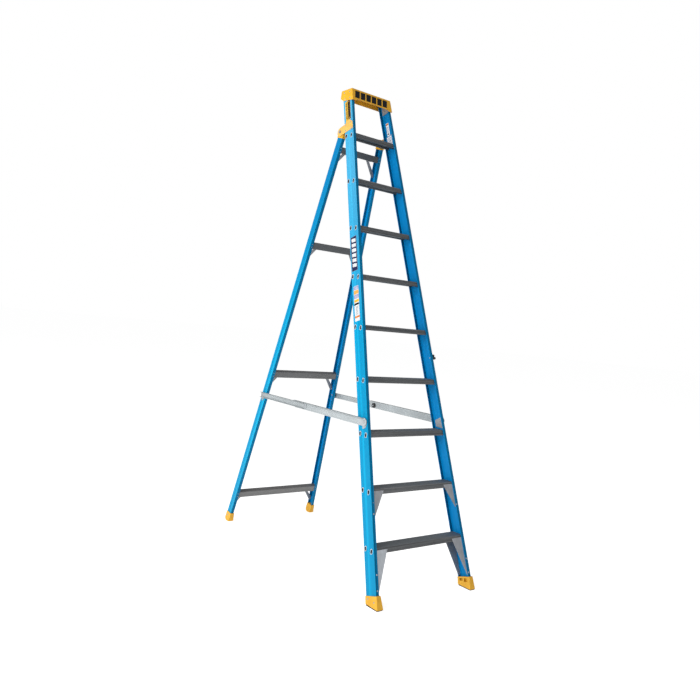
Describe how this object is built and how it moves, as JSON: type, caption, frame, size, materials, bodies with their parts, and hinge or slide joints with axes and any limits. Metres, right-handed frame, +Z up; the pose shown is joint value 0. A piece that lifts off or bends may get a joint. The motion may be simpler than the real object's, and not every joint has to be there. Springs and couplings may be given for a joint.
{
  "type": "step ladder",
  "caption": "Free-standing A-frame step ladder with fibreglass rails, flat treads, a moulded top cap and a folding rear frame held open by two-bar spreaders.",
  "frame": {"origin": "on the floor under the middle of the standing ladder's box", "axes": "+X to the right seen from the climbing side, the climbing side faces -Y, +Z up"},
  "size_m": [0.7576, 1.7484, 2.995],
  "materials": {
    "blue_fibreglass": "pultruded fibreglass, satin gloss",
    "tread_aluminium": "mill finish extrusion",
    "plain_aluminium": "mill finish sheet",
    "spreader_metal": "zinc plated",
    "yellow_moulding": "moulded",
    "yellow_plate": "satin paint",
    "black_moulding": "moulded",
    "rubber": "matt",
    "fastener_steel": "plated"
  },
  "bodies": {
    "front_frame": {"cap_backing_plates": "plain_aluminium", "front_foot_pads": "rubber", "front_frame_rivets": "fastener_steel", "front_left_rail": "blue_fibreglass", "front_right_rail": "blue_fibreglass", "hinge_bolts": "fastener_steel", "hinge_nuts": "fastener_steel", "hinge_plate_rivets": "fastener_steel", "left_front_foot": "yellow_moulding", "left_hinge_plate": "yellow_plate", "left_lower_gusset": "plain_aluminium", "left_spreader_front_bracket": "spreader_metal", "left_upper_gusset": "plain_aluminium", "rear_gussets": "plain_aluminium", "right_front_foot": "yellow_moulding", "right_hinge_plate": "yellow_plate", "right_lower_gusset": "plain_aluminium", "right_spreader_front_bracket": "spreader_metal", "right_upper_gusset": "plain_aluminium", "spreader_backing_plates": "plain_aluminium", "spreader_front_pins": "fastener_steel", "top_cap": "yellow_moulding", "top_cap_rivets": "fastener_steel", "transport_clip": "black_moulding", "tread_1": "tread_aluminium", "tread_2": "tread_aluminium", "tread_3": "tread_aluminium", "tread_4": "tread_aluminium", "tread_5": "tread_aluminium", "tread_6": "tread_aluminium", "tread_7": "tread_aluminium", "tread_8": "tread_aluminium", "tread_9": "tread_aluminium"},
    "rear_frame": {"left_rear_braces": "plain_aluminium", "left_rear_foot": "yellow_moulding", "left_rear_rail_end": "yellow_moulding", "left_spreader_rear_bracket": "spreader_metal", "rear_frame_rivets": "fastener_steel", "rear_horizontal_1": "plain_aluminium", "rear_horizontal_2": "plain_aluminium", "rear_horizontal_3": "plain_aluminium", "rear_horizontal_4": "plain_aluminium", "rear_left_rail": "blue_fibreglass", "rear_right_rail": "blue_fibreglass", "right_rear_braces": "plain_aluminium", "right_rear_foot": "yellow_moulding", "right_rear_rail_end": "yellow_moulding", "right_spreader_rear_bracket": "spreader_metal", "spreader_rear_pins": "fastener_steel"},
    "left_front_bar": {"left_spreader_front_bar": "spreader_metal", "left_bar_rivets": "fastener_steel", "left_spreader_knob": "black_moulding"},
    "left_rear_bar": {"left_spreader_rear_bar": "spreader_metal", "left_rear_bar_pin": "fastener_steel"},
    "right_front_bar": {"right_spreader_front_bar": "spreader_metal", "right_bar_rivets": "fastener_steel", "right_spreader_knob": "black_moulding"},
    "right_rear_bar": {"right_spreader_rear_bar": "spreader_metal", "right_rear_bar_pin": "fastener_steel"}
  },
  "joints": [
    {"name": "rear_frame_fold", "type": "hinge", "parent": "front_frame", "child": "rear_frame", "pos_m": [0, 0.15325, 2.71948], "axis": [-1, 0, 0], "range_deg": [0, 32.47]},
    {"name": "left_front_bar_turn", "type": "hinge", "parent": "front_frame", "child": "left_front_bar", "pos_m": [-0.30925, -0.53073, 0.9523], "axis": [1, 0, 0], "range_deg": [0, 67.63]},
    {"name": "left_elbow_turn", "type": "hinge", "parent": "left_front_bar", "child": "left_rear_bar", "pos_m": [-0.31225, 0.06967, 0.951], "axis": [-1, 0, 0], "range_deg": [0, 169.89]},
    {"name": "right_front_bar_turn", "type": "hinge", "parent": "front_frame", "child": "right_front_bar", "pos_m": [0.30925, -0.53073, 0.9523], "axis": [1, 0, 0], "range_deg": [0, 67.63]},
    {"name": "right_elbow_turn", "type": "hinge", "parent": "right_front_bar", "child": "right_rear_bar", "pos_m": [0.31225, 0.06967, 0.951], "axis": [-1, 0, 0], "range_deg": [0, 169.89]}
  ],
  "couplings": [
    {"joint": "left_front_bar_turn", "follows": "rear_frame_fold", "ratio": 2.0825},
    {"joint": "left_elbow_turn", "follows": "rear_frame_fold", "ratio": 5.232},
    {"joint": "right_front_bar_turn", "follows": "rear_frame_fold", "ratio": 2.0825},
    {"joint": "right_elbow_turn", "follows": "rear_frame_fold", "ratio": 5.232}
  ]
}
